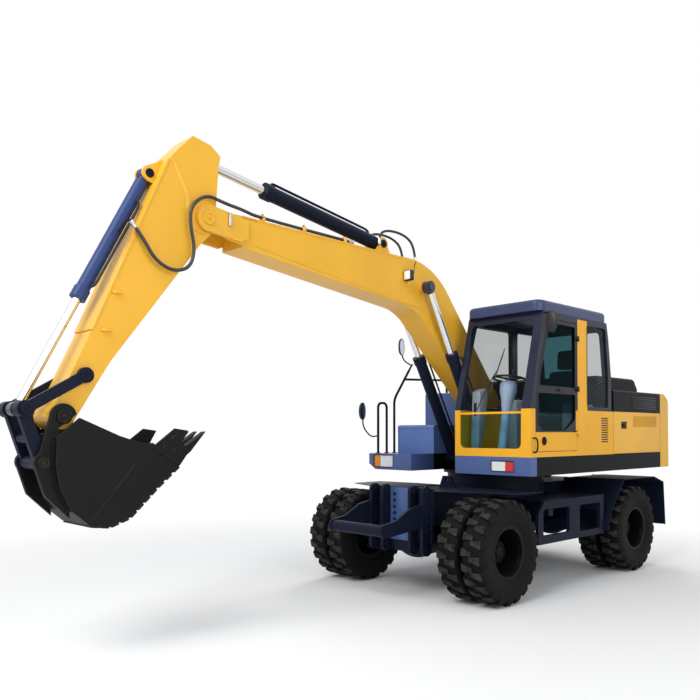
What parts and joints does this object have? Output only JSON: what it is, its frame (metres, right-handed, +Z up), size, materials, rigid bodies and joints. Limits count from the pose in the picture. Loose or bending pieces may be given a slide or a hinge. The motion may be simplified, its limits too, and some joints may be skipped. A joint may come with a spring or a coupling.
{
  "type": "wheeled excavator",
  "caption": "Wheeled excavator with twin tyres, cab beside a box boom, digging arm and bucket moved by hydraulic cylinders, slewing upper body on a steered chassis",
  "frame": {"origin": "on the ground at the middle of the machine's length and width", "axes": "+X forward towards the bucket, +Y to the driver's left, +Z up"},
  "size_m": [8.397, 2.652, 4.28],
  "materials": {
    "yellow_paint": "satin",
    "navy_paint": "satin",
    "blue_paint": "satin",
    "black_paint": "satin",
    "tyre": "matte",
    "glass": "clear",
    "iron": "rough",
    "bucket_steel": "worn",
    "chrome_rod": "polished",
    "trim_plastic": "matte",
    "lamp_lens": "gloss",
    "hose_rubber": "matte"
  },
  "bodies": {
    "chassis": {"chassis_frame": "navy_paint", "turret": "navy_paint", "cross_beams": "navy_paint", "front_step": "navy_paint", "slewing_ring": "navy_paint", "chassis_guards": "navy_paint", "rear_guards": "navy_paint", "axle_front": "navy_paint", "axle_rear": "navy_paint", "driveline": "navy_paint"},
    "upper": {"swing_deck": "black_paint", "front_platforms": "blue_paint", "counterweight": "yellow_paint", "fuel_tank": "blue_paint", "toolbox": "blue_paint", "engine_block": "iron", "engine_band": "black_paint", "cab_shell": "yellow_paint", "cab_roof": "navy_paint", "cab_glass": "glass", "cab_interior": "trim_plastic", "handrails": "navy_paint", "lamps": "lamp_lens"},
    "boom": {"boom": "yellow_paint", "boom_lamp": "navy_paint", "arm_hose": "hose_rubber", "cylinder_hoses": "hose_rubber"},
    "arm_barrel": {"arm_barrel": "navy_paint"},
    "arm": {"arm": "yellow_paint"},
    "bucket": {"bucket": "bucket_steel"},
    "guide_links": {"guide_links": "navy_paint"},
    "bucket_link": {"bucket_link": "navy_paint"},
    "boom_barrel": {"boom_barrels": "navy_paint"},
    "boom_rod": {"boom_rods": "chrome_rod"},
    "arm_rod": {"arm_rod": "chrome_rod"},
    "bucket_barrel": {"bucket_barrel": "blue_paint"},
    "bucket_rod": {"bucket_rod": "chrome_rod"},
    "knuckle_left": {"knuckle_left": "navy_paint"},
    "knuckle_right": {"knuckle_right": "navy_paint"},
    "tie_rod": {"tie_rod": "navy_paint"},
    "cab_door": {"cab_door": "black_paint", "door_glass": "glass"},
    "hood": {"engine_hood": "black_paint"},
    "side_door_left": {"side_door_left": "yellow_paint"},
    "side_door_right": {"side_door_right": "yellow_paint"},
    "toolbox_lid": {"toolbox_lid": "blue_paint"},
    "wheel_front_left": {"tyres_front_left": "tyre", "rims_front_left": "navy_paint"},
    "wheel_front_right": {"tyres_front_right": "tyre", "rims_front_right": "navy_paint"},
    "wheel_rear_left": {"tyres_rear_left": "tyre", "rims_rear_left": "navy_paint"},
    "wheel_rear_right": {"tyres_rear_right": "tyre", "rims_rear_right": "navy_paint"}
  },
  "joints": [
    {"name": "swing", "type": "hinge", "parent": "chassis", "child": "upper", "pos_m": [-1.6685, 0, 1.24], "axis": [0, 0, 1], "continuous": true},
    {"name": "boom_lift", "type": "hinge", "parent": "upper", "child": "boom", "pos_m": [-1.7185, -0.15, 1.95], "axis": [0, -1, 0], "range_deg": [-50, 30]},
    {"name": "arm_swing", "type": "hinge", "parent": "boom", "child": "arm", "pos_m": [2.5975, -0.15, 3.596], "axis": [0, -1, 0], "range_deg": [-60, 50]},
    {"name": "bucket_curl", "type": "hinge", "parent": "arm", "child": "bucket", "pos_m": [3.8565, -0.15, 1.857], "axis": [0, -1, 0], "range_deg": [-10, 145]},
    {"name": "guide_link", "type": "hinge", "parent": "arm", "child": "guide_links", "pos_m": [3.6875, -0.15, 2.174], "axis": [0, -1, 0], "range_deg": [-8.44, 95.41]},
    {"name": "bucket_link", "type": "hinge", "parent": "bucket", "child": "bucket_link", "pos_m": [4.0015, -0.15, 1.517], "axis": [0, -1, 0], "range_deg": [-113.19, 10.01]},
    {"name": "boom_cylinder_foot", "type": "hinge", "parent": "upper", "child": "boom_barrel", "pos_m": [-1.3685, -0.15, 1.42], "axis": [0, -1, 0], "range_deg": [-48.18, 29.5]},
    {"name": "arm_cylinder_foot", "type": "hinge", "parent": "boom", "child": "arm_barrel", "pos_m": [0.2915, -0.15, 3.8], "axis": [0, -1, 0], "range_deg": [-1.43, 1.2]},
    {"name": "bucket_cylinder_foot", "type": "hinge", "parent": "arm", "child": "bucket_barrel", "pos_m": [3.1035, -0.15, 3.89], "axis": [0, -1, 0], "range_deg": [-0.9, 10.14]},
    {"name": "boom_cylinder_stroke", "type": "slide", "parent": "boom_barrel", "child": "boom_rod", "axis": [0.4936, 0, 0.8697], "range_m": [-0.53471, 0.32746]},
    {"name": "arm_cylinder_stroke", "type": "slide", "parent": "arm_barrel", "child": "arm_rod", "axis": [0.9887, 0, 0.1497], "range_m": [-0.45099, 0.53739]},
    {"name": "bucket_cylinder_stroke", "type": "slide", "parent": "bucket_barrel", "child": "bucket_rod", "axis": [0.4626, 0, -0.8866], "range_m": [-0.71824, 0.06353]},
    {"name": "steer_left", "type": "hinge", "parent": "chassis", "child": "knuckle_left", "pos_m": [-0.1685, 0.7, 0.53], "axis": [0, 0, 1], "range_deg": [-27, 27]},
    {"name": "steer_right", "type": "hinge", "parent": "chassis", "child": "knuckle_right", "pos_m": [-0.1685, -0.7, 0.53], "axis": [0, 0, 1], "range_deg": [-27.5, 27.5]},
    {"name": "tie_rod_shift", "type": "slide", "parent": "chassis", "child": "tie_rod", "axis": [0, 1, 0], "range_m": [-0.07082, 0.07082]},
    {"name": "wheel_front_left_spin", "type": "hinge", "parent": "knuckle_left", "child": "wheel_front_left", "pos_m": [-0.1685, 0.965, 0.53], "axis": [0, 1, 0], "continuous": true},
    {"name": "wheel_front_right_spin", "type": "hinge", "parent": "knuckle_right", "child": "wheel_front_right", "pos_m": [-0.1685, -0.965, 0.53], "axis": [0, 1, 0], "continuous": true},
    {"name": "wheel_rear_left_spin", "type": "hinge", "parent": "chassis", "child": "wheel_rear_left", "pos_m": [-2.9685, 0.965, 0.53], "axis": [0, 1, 0], "continuous": true},
    {"name": "wheel_rear_right_spin", "type": "hinge", "parent": "chassis", "child": "wheel_rear_right", "pos_m": [-2.9685, -0.965, 0.53], "axis": [0, 1, 0], "continuous": true},
    {"name": "cab_door_swing", "type": "hinge", "parent": "upper", "child": "cab_door", "pos_m": [-1.5935, 1.2, 2.25], "axis": [0, 0, 1], "range_deg": [0, 170]},
    {"name": "hood_lift", "type": "hinge", "parent": "upper", "child": "hood", "pos_m": [-3.7865, 0, 2.262], "axis": [0, -1, 0], "range_deg": [0, 60]},
    {"name": "side_door_left_swing", "type": "hinge", "parent": "upper", "child": "side_door_left", "pos_m": [-3.7865, 1.185, 1.735], "axis": [0, 0, 1], "range_deg": [0, 110]},
    {"name": "side_door_right_swing", "type": "hinge", "parent": "upper", "child": "side_door_right", "pos_m": [-3.7865, -1.185, 1.735], "axis": [0, 0, -1], "range_deg": [0, 110]},
    {"name": "toolbox_lid_lift", "type": "hinge", "parent": "upper", "child": "toolbox_lid", "pos_m": [-1.6505, -0.79, 1.83], "axis": [0, -1, 0], "range_deg": [0, 85]}
  ],
  "couplings": [
    {"joint": "boom_cylinder_foot", "follows": "boom_lift", "ratio": 0.93367},
    {"joint": "boom_cylinder_stroke", "follows": "boom_lift", "m_per_rad": 0.59373},
    {"joint": "arm_cylinder_foot", "follows": "arm_swing", "ratio": 0.023025},
    {"joint": "arm_cylinder_stroke", "follows": "arm_swing", "m_per_rad": -0.49502},
    {"joint": "bucket_cylinder_foot", "follows": "bucket_curl", "ratio": 0.068453},
    {"joint": "bucket_cylinder_stroke", "follows": "bucket_curl", "m_per_rad": -0.27787},
    {"joint": "guide_link", "follows": "bucket_curl", "ratio": 0.64425},
    {"joint": "bucket_link", "follows": "bucket_curl", "ratio": -0.7643},
    {"joint": "steer_right", "follows": "steer_left", "ratio": 1},
    {"joint": "tie_rod_shift", "follows": "steer_left", "m_per_rad": 0.14451}
  ]
}
